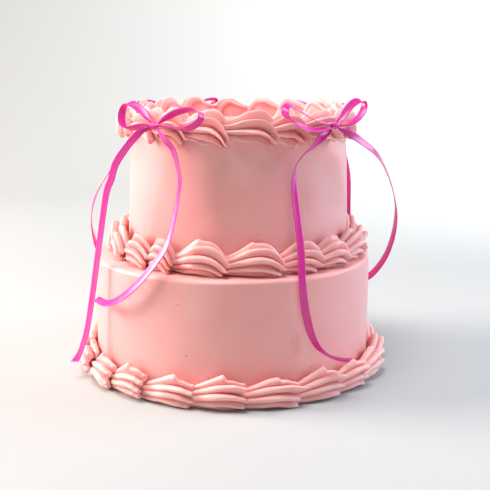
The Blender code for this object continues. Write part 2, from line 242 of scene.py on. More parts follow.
def waves(angle: np.ndarray, height: np.ndarray, seed: int, count: int, finest: float,
          tallest: float) -> np.ndarray:
    """Give a gentle unevenness that closes on itself round a ring.

    It is the mean of count sines, sin(k angle + m height + phase), with whole k up to finest, m up
    to tallest and a phase of its own, each divided by the root of k.

    Args:
        angle: the angle round the ring, in radians.
        height: the height, in metres.
        seed: picks the sines.
        count: how many sines.
        finest: the most waves round the ring.
        tallest: the most radians per metre of height.

    Returns:
        The unevenness, mostly within one either way.
    """
    draw = np.random.default_rng(seed)
    total = np.zeros(np.broadcast(angle, height).shape)
    for _ in range(count):
        k = draw.integers(1, int(finest) + 1)
        m = draw.uniform(-tallest, tallest)
        phase = draw.uniform(0.0, 2.0 * math.pi)
        total = total + np.sin(k * angle + m * height + phase) / math.sqrt(k)
    return total / math.sqrt(count)


def run_lengths(points: np.ndarray) -> np.ndarray:
    """Add up the steps between points, from nought at the first."""
    return np.concatenate([[0.0], np.cumsum(np.linalg.norm(np.diff(points, axis=0), axis=1))])


def close_ends(rings: np.ndarray) -> np.ndarray:
    """List the rings' points with each end ring's middle as a pole, the first one first."""
    return np.vstack([rings[0].mean(axis=0)[None], rings.reshape(-1, 3), rings[-1].mean(axis=0)[None]])


def stand(obj: Object, place: tuple, right: np.ndarray, above: np.ndarray, back: np.ndarray) -> None:
    """Put a camera or light in the scene.

    Args:
        obj: the camera or light.
        place: where it stands.
        right: its own x, of length one.
        above: its own y.
        back: its own z, away from what it looks at.
    """
    columns = np.stack([right, above, back, place], axis=1)
    obj.matrix_world = Matrix(np.vstack([columns, [0.0, 0.0, 0.0, 1.0]]).tolist())
    bpy.context.scene.collection.objects.link(obj)


def ease(value: np.ndarray, start: float, end: float) -> np.ndarray:
    """Rise smoothly from nought at start to one at end, by 3 t^2 - 2 t^3."""
    t = np.clip((value - start) / (end - start), 0.0, 1.0)
    return t * t * (3.0 - 2.0 * t)


def smooth_path(points: list, stations: int) -> np.ndarray:
    """Read evenly spaced stations off a Catmull-Rom curve through the points, in all their columns.

    Between points one and two the curve is half of 2 one + (two - before) t
    + (2 before - 5 one + 4 two - after) t^2 + (3 one - before - 3 two + after) t^3.

    Args:
        points: the route's points, the place in the first three columns.
        stations: how many points to read.

    Returns:
        The stations, with three columns more, the way that the path runs.
    """
    points = np.array(points, dtype=float)
    padded = np.vstack([2 * points[0] - points[1], points, 2 * points[-1] - points[-2]])
    before, one, two, after = (padded[i:len(padded) - 3 + i, None, :] for i in range(4))
    t = (np.arange(SPLINE_STEPS) / SPLINE_STEPS)[None, :, None]
    square = 2 * before - 5 * one + 4 * two - after
    cube = 3 * one - before - 3 * two + after
    fine = (2 * one + (two - before) * t + square * t ** 2 + cube * t ** 3) / 2.0
    fine = np.vstack([fine.reshape(-1, points.shape[1]), points[-1:]])
    fine = np.hstack([fine, unit(np.gradient(fine[:, :3], axis=0))])
    lengths = run_lengths(fine[:, :3])
    wanted = np.linspace(0.0, lengths[-1], stations)
    return np.stack([np.interp(wanted, lengths, column) for column in fine.T], axis=1)


# Finishes


class Surface(Enum):
    """How buttercream was worked."""
    SMOOTHED = "smoothed"
    PIPED = "piped"


@dataclass(frozen=True)
class Buttercream:
    """Pink buttercream: butter and sugar, matte, a little waxy, with light spreading inside it.

    Smoothed with a scraper it keeps faint drag lines and pinprick air pits, their insides painted
    deep red as painted shade. Piped, it is cleaner; its grooves, where light bounces about, and each
    shell's tail, tucked under the shell before, are painted deep red as painted shade, and its thin
    crests are painted paler as a painted highlight.
    """
    surface: Surface
    pink: str = "#F3B4B1"
    # deep red: painted shade in the grooves, the tucked tails and the pits, and random mottle elsewhere
    deep: str = "#E0544C"
    # painted highlight on the thin crests of the piping
    crest: str = "#F8C4BF"
    roughness: float = 0.46
    scatter: float = 2.6 * MM
    scatter_weight: float = 0.45
    grain: float = 1.0 * MM
    grain_depth: float = 0.08 * MM
    lumps: float = 5.0 * MM
    lump_depth: float = 0.35 * MM
    drag_spacing: float = 3.0 * MM
    drag_depth: float = 0.10 * MM
    pit_spacing: float = 11.0 * MM
    pit_radius: float = 0.8 * MM
    pit_depth: float = 0.5 * MM
    pits_left_out: float = 0.35
    mottle: float = 35.7 * MM
    mottle_depth: float = 0.16

    def material(self) -> Material:
        """Return the buttercream's material."""
        material, tree, output = new_material("buttercream_" + self.surface.value)
        place = add_node(tree, "TexCoord").outputs["Object"]
        grain = add_node(tree, "TexNoise", {"Scale": 1.0 / self.grain, "Detail": 3.0},
                         {"Vector": place}).outputs["Fac"]
        mottle = add_node(tree, "TexNoise", {"Scale": 1.0 / self.mottle, "Detail": 2.0},
                          {"Vector": place}).outputs["Fac"]
        shift = add_node(tree, "MapRange", {
            "From Min": 0.3, "From Max": 0.7, "To Max": self.mottle_depth},
            {"Value": mottle}).outputs[0]
        pink = add_node(tree, "RGB")
        pink.outputs[0].default_value = srgb(self.pink)
        pink = pink.outputs[0]
        if self.surface is Surface.PIPED:
            # painted shade: deep red in the grooves and the tucked tails
            depth = self.groove(tree, shift)
            # painted highlight: the crests turn paler
            pink = self.painted_crest_highlight(tree)
            lumps = add_node(tree, "TexNoise", {"Scale": 1.0 / self.lumps, "Detail": 2.0},
                             {"Vector": place}).outputs["Fac"]
            height = add_node(tree, "Math", {"operation": "ADD"}, {
                0: self.scaled(tree, grain, self.grain_depth),
                1: self.scaled(tree, lumps, self.lump_depth)}).outputs[0]
        else:
            pits = self.pits(tree, place)
            # painted shade: the air pits take the deep red
            depth = add_node(tree, "Math", {"operation": "MAXIMUM"},
                             {0: shift, 1: pits}).outputs[0]
            height = self.scraped(tree, place, grain, pits)
        # The deep red is painted shade in grooves, tucked tails and pits, and random mottle over the rest.
        colour = add_node(tree, "Mix", {"data_type": "RGBA", 7: srgb(self.deep)},
                          {0: depth, 6: pink}).outputs[2]
        bump = add_node(tree, "Bump", {"Strength": 1.0, "Distance": 1.0}, {"Height": height})
        shader = add_node(tree, "BsdfPrincipled", {
            "Roughness": self.roughness, "IOR": 1.46, "Subsurface Weight": self.scatter_weight,
            "Subsurface Radius": (1.0, 0.36, 0.28), "Subsurface Scale": self.scatter,
        }, {"Base Color": colour, "Normal": bump.outputs[0]})
        tree.links.new(shader.outputs[0], output.inputs[0])
        return material

    def scaled(self, tree: Tree, value: Socket,
               by: float) -> Socket:
        """Multiply a socket's value by a length.

        Args:
            tree: the node tree.
            value: what is multiplied.
            by: the length.

        Returns:
            The product.
        """
        return add_node(tree, "Math", {"operation": "MULTIPLY", 1: by}, {0: value}).outputs[0]

    def painted_crest_highlight(self, tree: Tree) -> Socket:
        """Paint a highlight on the thin crests: the pink turns paler where the groove attribute is near
        nought.

        Args:
            tree: the node tree.

        Returns:
            The colour.
        """
        groove = add_node(tree, "Attribute", {"attribute_name": "groove"}).outputs["Fac"]
        body = add_node(tree, "MapRange", {"From Max": 0.3}, {"Value": groove})
        return add_node(tree, "Mix", {
            "data_type": "RGBA", 6: srgb(self.crest), 7: srgb(self.pink)}, {0: body.outputs[0]}).outputs[2]

    def groove(self, tree: Tree, shift: Socket) -> Socket:
        """Paint shade into the grooves: deepen the colour with the piece's own groove attribute, one in a
        groove, nought on a crest.

        Args:
            tree: the node tree.
            shift: the mottled part of the depth.

        Returns:
            The depth of the colour: painted shade in the grooves and tucked tails, and the mottle.
        """
        groove = add_node(tree, "Attribute", {"attribute_name": "groove"}).outputs["Fac"]
        deep = add_node(tree, "MapRange", {
            "From Min": 0.55, "To Max": 0.6}, {"Value": groove}).outputs[0]
        return add_node(tree, "Math", {"operation": "ADD"}, {0: deep, 1: shift}).outputs[0]

    def pits(self, tree: Tree, place: Socket) -> Socket:
        """Scatter air pits: one small round spot in some of the cells of a random lattice.

        Args:
            tree: the node tree.
            place: the object coordinates.

        Returns:
            One in a pit, nought outside.
        """
        cells = add_node(tree, "TexVoronoi", {"Scale": 1.0 / self.pit_spacing}, {"Vector": place})
        radius = self.pit_radius / self.pit_spacing
        spot = add_node(tree, "MapRange", {
            "From Min": radius * 0.4, "From Max": radius, "To Min": 1.0, "To Max": 0.0},
            {"Value": cells.outputs["Distance"]})
        some = add_node(tree, "SeparateColor", {}, {"Color": cells.outputs["Color"]})
        chosen = add_node(tree, "Math", {"operation": "GREATER_THAN", 1: self.pits_left_out},
                          {0: some.outputs[0]})
        return add_node(tree, "Math", {"operation": "MULTIPLY"},
                        {0: spot.outputs[0], 1: chosen.outputs[0]}).outputs[0]

    def scraped(self, tree: Tree, place: Socket, grain: Socket,
                pits: Socket) -> Socket:
        """Work out the scraped height: grain and drag lines, less the pits.

        Args:
            tree: the node tree.
            place: the object coordinates.
            grain: the fine grain.
            pits: the air pits.

        Returns:
            The height in metres.
        """
        drawn = add_node(tree, "Mapping", {"Scale": (1.0, 1.0, 0.06)}, {"Vector": place})
        lines = add_node(tree, "TexNoise", {"Scale": 1.0 / self.drag_spacing, "Detail": 2.0},
                         {"Vector": drawn.outputs[0]}).outputs["Fac"]
        added = add_node(tree, "Math", {"operation": "ADD"}, {
            0: self.scaled(tree, grain, self.grain_depth), 1: self.scaled(tree, lines, self.drag_depth)})
        return add_node(tree, "Math", {"operation": "SUBTRACT"}, {
            0: added.outputs[0], 1: self.scaled(tree, pits, self.pit_depth)}).outputs[0]


@dataclass(frozen=True)
class SatinRibbon:
    """Polyester satin ribbon: bright pink, with a soft gloss that runs across its weave.

    The weft is too fine to show, so it is drawn about four times as coarse, in long streaks.
    """
    name: str = "polyester_satin_ribbon"
    pink: str = "#E22E98"
    # a darker purple mixed in along random streaks of the weave
    streak_purple: str = "#A0228E"
    roughness: float = 0.30
    anisotropy: float = 0.6
    weft_spacing: float = 0.9 * MM
    weft_depth: float = 0.03 * MM
    streak: float = 16.7 * MM

    def material(self) -> Material:
        """Return the ribbon's material."""
        material, tree, output = new_material(self.name)
        weave = add_node(tree, "UVMap", {"uv_map": "weave"}).outputs[0]
        stretched = add_node(tree, "Mapping", {
            "Scale": (1.0 / self.streak, 1.0 / self.weft_spacing, 1.0)}, {"Vector": weave})
        weft = add_node(tree, "TexNoise", {"Scale": 1.0, "Detail": 1.0},
                        {"Vector": stretched.outputs[0]}).outputs["Fac"]
        tone = add_node(tree, "MapRange", {
            "From Min": 0.3, "From Max": 0.75, "To Max": 0.35}, {"Value": weft}).outputs[0]
        colour = add_node(tree, "Mix", {
            "data_type": "RGBA", 6: srgb(self.pink), 7: srgb(self.streak_purple)}, {0: tone}).outputs[2]
        height = add_node(tree, "Math", {"operation": "MULTIPLY", 1: self.weft_depth}, {0: weft})
        bump = add_node(tree, "Bump", {"Strength": 1.0, "Distance": 1.0},
                        {"Height": height.outputs[0]})
        shader = add_node(tree, "BsdfPrincipled", {
            "Roughness": self.roughness, "IOR": 1.55, "Anisotropic": self.anisotropy,
            "Subsurface Weight": 0.2, "Subsurface Radius": (1.0, 0.4, 0.8), "Subsurface Scale": 1.0 * MM,
            "Sheen Weight": 0.08, "Sheen Roughness": 0.3, "Specular IOR Level": 0.6,
        }, {"Base Color": colour, "Normal": bump.outputs[0]})
        tangent = add_node(tree, "Tangent", {"direction_type": "UV_MAP", "uv_map": "weave"})
        tree.links.new(tangent.outputs[0], shader.inputs["Tangent"])
        tree.links.new(shader.outputs[0], output.inputs[0])
        return material


@dataclass(frozen=True)
class PaperSweep:
    """Matte pale paper, the plain surface behind and under the cake."""
    name: str = "matte_paper"
    colour: str = "#B4B5B4"

    def material(self) -> Material:
        """Return the paper's material."""
        material, tree, output = new_material(self.name)
        shader = add_node(tree, "BsdfPrincipled",
                          {"Base Color": srgb(self.colour), "Roughness": 0.7})
        tree.links.new(shader.outputs[0], output.inputs[0])
        return material


# Camera, light and floor


@dataclass(frozen=True)
class Camera:
    """The camera: where it stands, its lens, and how far it looks down, turns and rolls."""
    place: tuple = (0.0064, -0.812, 0.271)
    lens: float = 72.9
    sensor: float = 36.0
    pitch: float = 11.97
    yaw: float = 0.29
    roll: float = 0.13

    def build(self) -> None:
        """Add the camera and make it the scene's."""
        pitch, yaw, roll = (math.radians(value) for value in (self.pitch, self.yaw, self.roll))
        level = math.cos(pitch)
        ahead = np.array([math.sin(yaw) * level, math.cos(yaw) * level, -math.sin(pitch)])
        right = np.array([math.cos(yaw), -math.sin(yaw), 0.0])
        above = np.cross(right, ahead)
        turned = math.cos(roll) * right + math.sin(roll) * above
        upright = -math.sin(roll) * right + math.cos(roll) * above
        data = bpy.data.cameras.new("camera")
        data.lens, data.sensor_width, data.sensor_fit = self.lens, self.sensor, "HORIZONTAL"
        data.clip_start, data.clip_end = 0.01, 50.0
        camera = bpy.data.objects.new("camera", data)
        stand(camera, self.place, turned, upright, -ahead)
        bpy.context.scene.camera = camera


@dataclass(frozen=True)
class SoftLight:
    """One soft box: its place, size, power and colour, aimed at the cake."""
    name: str
    place: tuple
    size: float
    power: float
    colour: str
    aim: tuple = (0.0, 0.0, 0.1)

    def build(self) -> None:
        """Add the light, unseen by the camera itself."""
        data = bpy.data.lights.new(self.name, "AREA")
        data.shape, data.size, data.energy = "DISK", self.size, self.power
        data.color = srgb(self.colour)[:3]
        light = bpy.data.objects.new(self.name, data)
        away = unit(np.array(self.place) - np.array(self.aim))
        right = unit(np.cross((0.0, 0.0, 1.0), away))
        light.visible_camera = False
        stand(light, self.place, right, np.cross(away, right), away)


@dataclass(frozen=True)
class Studio:
    """The plain pale floor that sweeps up behind the cake, the soft boxes and the room's light."""
    lights: tuple = (
        SoftLight("window_left", (-1.40, 0.14, 0.75), 0.9, 46.0, "#FFF4EC"),
        SoftLight("window_right", (1.30, 0.24, 0.62), 1.1, 20.0, "#D6EAFF"),
        SoftLight("ceiling", (-0.15, -0.28, 1.6), 0.8, 22.0, "#FFFFFF"),
        SoftLight("backdrop", (0.8, 0.7, 0.9), 0.8, 23.0, "#FFFFFF", (0.8, 1.7, 0.5)),
        SoftLight("front", (0.35, -1.9, 0.7), 1.2, 6.6, "#FFFFFF"),
    )
    room: str = "#EEF0F2"
    room_strength: float = 0.04
    near: float = -4.0
    bend: float = 0.85
    bend_radius: float = 0.8
    wall: float = 3.0
    half_width: float = 4.0

    def build(self) -> None:
        """Add the sweep, the lights and the room's light."""
        world = bpy.data.worlds.new("room")
        bpy.context.scene.world = world
        world.use_nodes = True
        background = world.node_tree.nodes["Background"]
        background.inputs[0].default_value = srgb(self.room)
        background.inputs[1].default_value = self.room_strength
        bpy.context.scene.view_settings.view_transform = "Standard"
        for light in self.lights:
            light.build()
        self.sweep()

    def sweep(self) -> Object:
        """Build the floor: flat, then a quarter circle up, then a wall, at each of two ends in x.

        Returns:
            The floor's object.
        """
        turn = np.linspace(0.0, math.pi / 2.0, 25)
        y = np.concatenate([[self.near], self.bend + self.bend_radius * np.sin(turn),
                            [self.bend + self.bend_radius]])
        z = np.concatenate([[0.0], self.bend_radius * (1.0 - np.cos(turn)), [self.wall]])
        rows = len(y)
        x = np.repeat([-self.half_width, self.half_width], rows)
        points = np.stack([x, np.tile(y, 2), np.tile(z, 2)], axis=1)
        i = np.arange(rows - 1)
        faces = np.stack([i, i + rows, i + rows + 1, i + 1], axis=1)
        return add_mesh("sweep", points, [tuple(face) for face in faces.tolist()], PaperSweep().material())


# Tiers


@dataclass(frozen=True)
class Tier:
    """A round tier of cake under smoothed icing, its sides a little uneven and its rim soft."""
    node: str
    axis_x: float
    base: float
    top: float
    foot_radius: float
    rim_radius: float
    seed: int
    rim_rounding: float = 3.0 * MM
    side_waver: float = 0.35 * MM
    rim_waver: float = 0.5 * MM
    rim_band: float = 4.0 * MM
    columns: int = 288
    side_rows: int = 60
    rim_rows: int = 12
    top_rows: int = 20

    def profile(self) -> tuple:
        """Draw half of the tier's outline from the foot to near the middle of the top.

        Returns:
            Radii, heights and how far each belongs to the rim, from nought to one.
        """
        turn = np.linspace(0.0, math.pi / 2.0, self.rim_rows)
        side = np.linspace(0.0, 1.0, self.side_rows)[:-1]
        across = np.linspace(1.0, 0.04, self.top_rows)[1:]
        height = self.top - self.base - self.rim_rounding
        radius = np.concatenate([
            self.foot_radius + (self.rim_radius - self.foot_radius) * side,
            self.rim_radius - self.rim_rounding * (1.0 - np.cos(turn)),
            (self.rim_radius - self.rim_rounding) * across])
        up = np.concatenate([
            self.base + height * side, self.base + height + self.rim_rounding * np.sin(turn),
            np.full(len(across), self.top)])
        rim = np.exp(-((up - self.top) / self.rim_band) ** 2)
        rim = rim * np.clip(radius / self.rim_radius, 0.0, 1.0) ** 6
        return radius, up, rim

    def build(self, finish: Buttercream) -> Object:
        """Turn the outline round the tier's axis and waver it.

        A point at azimuth a is (axis + r sin a, -r cos a, z), where r gains side_waver times waves
        of a and z, and z gains rim_waver times waves of a near the rim.

        Args:
            finish: the icing.

        Returns:
            The tier's object.
        """
        radius, up, rim = (values[:, None] for values in self.profile())
        azimuth = np.arange(self.columns)[None, :] * 2.0 * math.pi / self.columns
        inner = np.clip(radius / self.rim_radius, 0.0, 1.0)
        radius = radius + self.side_waver * waves(azimuth, up, self.seed, 14, 9, 90.0) * inner ** 4
        up = up + self.rim_waver * rim * waves(azimuth, up * 0.0, self.seed + 1, 10, 11, 0.0)
        place = np.stack([self.axis_x + radius * np.sin(azimuth), -radius * np.cos(azimuth), up], axis=-1)
        poles = np.array([[self.axis_x, 0.0, self.base], [self.axis_x, 0.0, self.top]])
        points = np.vstack([poles[:1], place.reshape(-1, 3), poles[1:]])
        faces = [face[::-1] for face in tube_faces(len(place), self.columns, 0)]
        obj = add_mesh(self.node + "_icing", points, faces, finish.material())
        return place_piece(obj, self.node)


# Piped borders


@dataclass(frozen=True)
class Shell:
    """One piped shell: where it ends, how long it is and how it differs from its neighbours."""
    crest_scales: tuple
    end_azimuth: float
    length: float
    scale: float
    phase: float
    twist: float
    fall: float


@dataclass(frozen=True)
class ShellBorder:
    """A ring of piped shells in the corner between a wall and the surface under it.

    The star's middle and reach are measured from that corner, outwards and up.
    """
    node: str
    axis_x: float
    wall_radius: float
    floor: float
    star_out: float
    star_up: float
    reach: float
    tail_scale: float
    shoulder: float
    fall: float
    front_ends: tuple
    seed: int
    tail_power: float
    end_power: float
    tail_groove: float
    end_groove: float
    skew: float
    crests: int = 5
    shells: int = 18
    flare: float = 0.12
    scallop: float = 2.6 * MM
    early_fall: float = 0.0
    fall_start: float = 0.65
    ridge_round: float = 0.12
    crest_run: float = 1.8 * MM
    crest_stray: float = 0.10
    waver: float = 0.02
    dimple: float = 1.8 * MM
    star_relief: float = 1.2 * MM
    nose: float = 3.0 * MM
    hump: float = 0.0
    corner: float = 0.0
    end_taper: float = 0.05

    @property
    def press_down(self) -> float:
        """How low the icing may go under the border's corner: not at all on the floor."""
        return 0.0 if self.floor == 0.0 else -3.0 * self.reach

    def lead(self, fall: float) -> float:
        """Return how far a shell's end runs on round the ring as it turns down by an angle."""
        return FALL_SQUASH * 2.0 * self.reach * math.sin(math.radians(fall))

    def ends(self) -> list:
        """Return where every shell ends: the front ones as piped, the rest evenly round the back."""
        front = list(self.front_ends)
        rest = self.shells - len(front)
        step = (front[0] + 360.0 - front[-1]) / (rest + 1)
        return front + [front[-1] + step * (i + 1) for i in range(rest)]

    def draw_shells(self) -> list:
        """Return the border's shells, each a little different."""
        draw = random.Random(self.seed)
        ends = self.ends()
        shells = []
        for start, end in zip([ends[-1] - 360.0] + ends[:-1], ends):
            pitch = math.radians(end - start) * (self.wall_radius + self.reach)
            shells.append(Shell(
                crest_scales=tuple(draw.uniform(*CREST_SPREAD) for _ in range(self.crests)),
                end_azimuth=end, length=pitch + TAIL_OVERLAP - self.lead(self.fall),
                scale=draw.uniform(*SIZE_SPREAD), phase=draw.uniform(*PHASE_SPREAD),
                twist=draw.uniform(*TWIST_SPREAD), fall=self.fall * draw.uniform(*FALL_SPREAD)))
        return shells

    def lobes(self) -> tuple:
        """Lay out a ring's visible points, crowded at the crests.

        A point's lobe number is whole on a crest and half in a groove.

        Returns:
            Each point's lobe number, its nearest crest and its distance from that, from -1 to 1.
        """
        step = np.arange(-LOBE_POINTS // 2, LOBE_POINTS // 2) / (LOBE_POINTS / 2.0)
        offset = 0.5 * np.sign(step) * np.abs(step) ** 1.25
        lobe = (np.arange(self.crests)[:, None] + offset[None, :]).ravel()
        lobe = np.append(lobe, self.crests - 0.5)
        nearest = np.clip(np.round(lobe), 0, self.crests - 1).astype(int)
        return lobe, nearest, 2.0 * (lobe - nearest)

    def section(self, shell: Shell, u: np.ndarray, draw: np.random.Generator) -> tuple:
        """Draw the star section at each u, u running from the shell's tail to its end.

        A visible point lies at (r cos a, r sin a), with a its lobe's angle and r between the
        groove's and its crest's: with d the distance from the crest and e the roundness, the ridge is
        1 - ((sqrt(d^2 + e^2) - e) / (sqrt(1 + e^2) - e))^power. Grooves deepen and the power changes
        towards the end. A crest gains a waver of two sines, flare times u^6 and, on the second crest
        from the top, the corner, eased in. The top crest has a hump like a saw's tooth: it rises as
        e^((u - place) / rise), then drops below its start. Behind, straight lines run to one buried
        corner and back.

        Args:
            shell: the shell.
            u: the places along it, (rows, 1).
            draw: picks each crest's waver.

        Returns:
            The section's out and up, in reaches, its ridge and its lobe number, each (rows, columns).
        """
        lobe, nearest, away = self.lobes()
        e = self.ridge_round
        soft = (np.sqrt(away ** 2 + e ** 2) - e) / (math.sqrt(1.0 + e ** 2) - e)
        ending = ease(u, *STAR_CHANGE)
        ridge = 1.0 - soft ** (self.tail_power + (self.end_power - self.tail_power) * ending)
        depth = self.tail_groove + (self.end_groove - self.tail_groove) * ending
        outer = (lobe < 0.0) | (lobe > self.crests - 1)
        groove = 1.0 - depth * np.where(outer, 0.5, 1.0)
        pull = draw.uniform(0.0, 2.0 * math.pi, (2, self.crests))[:, nearest]
        waver = self.waver * (np.sin(8.0 * u + pull[0]) + 0.6 * np.sin(15.0 * u + pull[1]))
        flare = self.flare * draw.uniform(0.6, 1.4, self.crests)[nearest] * u ** 6
        topmost = np.clip(lobe - (self.crests - 1.7), 0.0, 1.0)
        place, size = HUMP_PLACE + draw.uniform(-0.06, 0.05), self.hump * draw.uniform(0.6, 1.2)
        hump = size * topmost * np.exp(-np.maximum(place - u, 0.0) / HUMP_RISE)
        hump = hump * (1.0 - 1.5 * ease(u, place, place + HUMP_DROP))
        second = np.clip(1.0 - np.abs(lobe - (self.crests - 2.0)), 0.0, 1.0)
        corner = self.corner * second * ease(u, CORNER_START, 1.0)
        crest = np.array(shell.crest_scales)[nearest] + waver + flare + hump + corner
        radius = groove + (crest - groove) * ridge
        stray = draw.uniform(-self.crest_stray, self.crest_stray, self.crests)[nearest]
        bent = lobe + (stray * u + self.skew / 2.0) * (1.0 - away ** 2)
        angle = np.radians(FIRST_CREST + CREST_SPACING * bent + shell.phase + shell.twist * u)
        out, up = radius * np.cos(angle), radius * np.sin(angle)
        turn = math.radians(BURIED_ANGLE)
        deepest = BURIED_REACH * np.array([math.cos(turn), math.sin(turn)])
        way = np.arange(1, BURIED_POINTS + 1) / BURIED_POINTS
        buried = [np.hstack([side[:, -1:] + (deep - side[:, -1:]) * way,
                             deep + (side[:, :1] - deep) * way[:-1]])
                  for side, deep in zip((out, up), deepest)]
        rows, behind = len(u), buried[0].shape[1]
        ridge = np.hstack([ridge, np.full((rows, behind), 0.3)])
        lobe = np.hstack([np.tile(lobe, (rows, 1)), np.full((rows, behind), -1.0)])
        return np.hstack([out, buried[0]]), np.hstack([up, buried[1]]), ridge, lobe

    def surface(self, shell: Shell, number: int) -> tuple:
        """Carry the star along the shell, grow it, let its end fall, and close it with a star face.

        The scale rises from the tail's by 3 g^2 - 2 g^3, g = u over GROWTH_END, and near the end
        it eases down by the end taper. Points away from the shoulder's middle hang back, grooves hang
        back behind their crests by the scallop, and past fall_start, sooner for the low crests, the
        section turns about a line at the floor.

        Args:
            shell: the shell.
            number: its place in the border.

        Returns:
            Its points, (n, 3), with a pole at each end, and its groove attribute, which paints shade in the
            grooves and on the tucked tail.
        """
        draw = np.random.default_rng(self.seed * 100 + number)
        u = (np.linspace(0.0, 1.0, SHELL_ROWS) ** 0.8)[:, None]
        out, up, ridge, lobe = self.section(shell, u, draw)
        scale = shell.scale * (self.tail_scale + (1.0 - self.tail_scale) * ease(u, 0.0, GROWTH_END))
        scale = scale * (1.0 - self.end_taper * ease(u, TAPER_START, 1.0))
        out, up = scale * (self.star_out + self.reach * out), scale * (self.star_up + self.reach * up)
        angle = np.arctan2(up - scale * self.star_up, out - scale * self.star_out)
        back = 1.0 - np.cos(angle - math.radians(SHOULDER_MIDDLE))
        run = np.interp(lobe, np.arange(self.crests), draw.uniform(-1.0, 1.0, self.crests)) * self.crest_run
        along = shell.length * u - self.shoulder * u ** SHOULDER_START * back ** SHOULDER_POWER / 2.0
        along = along + (run * ridge - self.scallop * (1.0 - ridge)) * u ** 5
        low = np.clip(0.5 - (up - scale * self.star_up) / (2.0 * self.reach), 0.0, 1.0)
        begins = self.fall_start - self.early_fall * (low - 0.5)
        past = np.maximum(0.0, (u - begins) / (1.0 - begins))
        fall = math.radians(shell.fall) * past ** FALL_POWER
        pivot = self.star_up - self.reach - PIVOT_DROP
        arm = up - pivot
        up = np.maximum(pivot + arm * np.cos(fall), self.press_down)
        rings = self.bend_round(shell, along + FALL_SQUASH * arm * np.sin(fall), out, up)
        cap, groove = self.star_face(shell, rings[-1], ridge[-1])
        cap[:, 2] = np.maximum(cap[:, 2], self.floor + self.press_down)
        points = np.vstack([rings[0].mean(axis=0)[None], rings.reshape(-1, 3), cap])
        # painted shade: one in the grooves and on the tail tucked under the shell before, nought on the
        # crests, where it paints highlight
        groove_and_tail_shade = np.maximum(1.0 - ridge, 1.0 - ease(u, 0.0, TUCKED_TAIL_SHADE))
        return points, np.concatenate([[1.0], groove_and_tail_shade.ravel(), groove])

    def star_face(self, shell: Shell, ring: np.ndarray, ridge: np.ndarray) -> tuple:
        """Close a shell's end with a dimpled star.

        Each ring of it is the last one drawn in towards its middle by s. It lies back by the dimple
        times 1 - s, its crests stand out by the relief times 4 s (1 - s), and its edge is rounded
        by a quarter ellipse as long as the nose, longest on the crests.

        Args:
            shell: the shell.
            ring: its last ring, (columns, 3).
            ridge: that ring's ridges.

        Returns:
            The rings' points with the pole, (n, 3), and their groove attribute.
        """
        middle = ring.mean(axis=0)
        ahead = unit(np.cross(ring - middle, np.roll(ring, -1, axis=0) - middle).sum(axis=0))
        turn = math.radians(shell.end_azimuth)
        if ahead @ np.array([math.cos(turn), math.sin(turn), 0.0]) < 0.0:
            ahead = -ahead
        s = np.array(CAP_STEPS)[:, None]
        rise = self.star_relief * (ridge - 0.4) * 4.0 * s * (1.0 - s) - self.dimple * (1.0 - s)
        edge = np.clip((s - NOSE_START) / (1.0 - NOSE_START), 0.0, 1.0)
        rise = rise + self.nose * (0.3 + 0.7 * ridge) * np.sqrt(1.0 - edge ** 2) * ease(s, 0.1, 0.8)
        rings = middle + (ring - middle) * s[..., None] + rise[..., None] * ahead
        points = np.vstack([rings.reshape(-1, 3), middle - self.dimple * ahead])
        # on the star face the groove attribute is halved: painted highlight on its crests, no painted shade
        return points, np.concatenate([np.tile(1.0 - ridge, len(s)) * 0.5, [0.4]])

    def bend_round(self, shell: Shell, along: np.ndarray, out: np.ndarray, up: np.ndarray) -> np.ndarray:
        """Lay points, given along, out from and up the border's corner, round its axis.

        Args:
            shell: the shell.
            along: the distances along it.
            out: the distances out from the wall.
            up: the heights over the floor.

        Returns:
            The points, with x, y and z last.
        """
        past_end = along - shell.length - self.lead(shell.fall)
        turn = math.radians(shell.end_azimuth) + past_end / (self.wall_radius + self.reach)
        radius = self.wall_radius + out
        x, y = self.axis_x + radius * np.sin(turn), -radius * np.cos(turn)
        return np.stack([x, y, self.floor + up], axis=-1)

    def build(self, finish: Buttercream) -> Object:
        """Pipe the border's shells as one piece.

        Args:
            finish: the icing.

        Returns:
            The border's object.
        """
        points, painted_shade_and_highlight, faces, count = [], [], [], 0
        columns = self.crests * LOBE_POINTS + 2 * BURIED_POINTS
        rows = SHELL_ROWS + len(CAP_STEPS)
        for number, shell in enumerate(self.draw_shells()):
            place, groove = self.surface(shell, number)
            points.append(place)
            painted_shade_and_highlight.append(groove)
            faces += tube_faces(rows, columns, count)
            count += len(place)
        obj = add_mesh(self.node + "_piping", np.vstack(points), faces, finish.material(),
                       {"groove": np.concatenate(painted_shade_and_highlight)})
        return place_piece(obj, self.node)


# Ribbon


class Cut(Enum):
    """How a ribbon's end is cut."""
    STRAIGHT = 0.0
    SLANTED = 1.0


